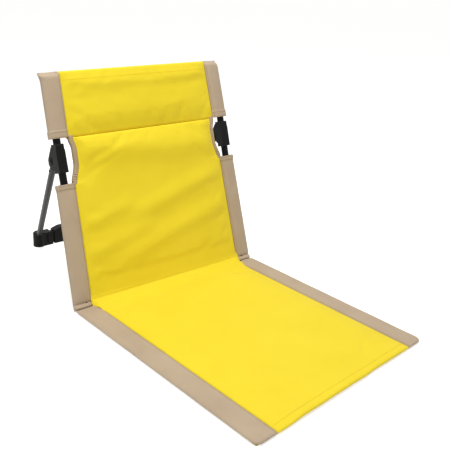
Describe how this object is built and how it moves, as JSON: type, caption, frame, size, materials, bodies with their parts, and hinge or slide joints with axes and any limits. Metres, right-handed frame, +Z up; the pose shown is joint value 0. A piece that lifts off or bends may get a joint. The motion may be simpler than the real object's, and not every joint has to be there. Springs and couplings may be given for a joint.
{
  "type": "folding floor chair",
  "caption": "Legless folding floor chair: reclined cloth back on two side tubes, rear leg frame folding on moulded hubs, thin padded seat mat.",
  "frame": {"origin": "on the floor, in the middle of the length from the seat mat's front edge to the rear feet", "axes": "+Z up, the sitter faces -Y, X across the chair"},
  "size_m": [0.4504, 0.8362, 0.4303],
  "materials": {
    "yellow_cloth": "matte woven polyester",
    "tan_cloth": "matte woven polyester",
    "tan_tape": "ribbed edge tape",
    "lining_cloth": "matte woven polyester",
    "foam_sheet": "closed-cell foam",
    "black_tube": "satin black",
    "grey_tube": "anodised satin grey",
    "black_nylon": "fine moulded texture",
    "grey_nylon": "fine moulded texture",
    "rivet_steel": "black zinc"
  },
  "bodies": {
    "back_frame": {"side_tube_left": "black_tube", "side_tube_right": "black_tube", "lower_tube_cap_left": "black_nylon", "lower_tube_cap_right": "black_nylon", "upper_tube_cap_left": "black_nylon", "upper_tube_cap_right": "black_nylon", "hub_left": "black_nylon", "hub_right": "black_nylon", "pivot_rivet_left": "rivet_steel", "pivot_rivet_right": "rivet_steel", "lower_sleeve_left": "tan_cloth", "lower_sleeve_right": "tan_cloth", "upper_pocket_left": "tan_cloth", "upper_pocket_right": "tan_cloth", "cutout_binding_left": "tan_tape", "cutout_binding_right": "tan_tape", "back_panel": "yellow_cloth", "header_panel": "yellow_cloth", "back_lining": "lining_cloth"},
    "rear_legs": {"leg_fitting_left": "grey_nylon", "leg_fitting_right": "grey_nylon", "rear_leg_tube_left": "grey_tube", "rear_leg_tube_right": "grey_tube", "corner_foot_left": "black_nylon", "corner_foot_right": "black_nylon", "leg_rivet_left": "rivet_steel", "leg_rivet_right": "rivet_steel", "foot_rivet_left": "rivet_steel", "foot_rivet_right": "rivet_steel", "rear_cross_bar": "black_nylon", "cross_bar_grip": "black_nylon"},
    "seat_mat": {"seat_border_left": "tan_cloth", "seat_border_right": "tan_cloth", "seat_underside": "lining_cloth", "seat_foam": "foam_sheet", "seat_panel": "yellow_cloth", "front_hem": "yellow_cloth"}
  },
  "joints": [
    {"name": "rear_leg_fold", "type": "hinge", "parent": "back_frame", "child": "rear_legs", "pos_m": [0, 0.17165, 0.26797], "axis": [-1, 0, 0], "range_deg": [0, 59]},
    {"name": "seat_fold", "type": "hinge", "parent": "back_frame", "child": "seat_mat", "pos_m": [0, 0.05993, 0.008], "axis": [-1, 0, 0], "range_deg": [0, 100]}
  ]
}
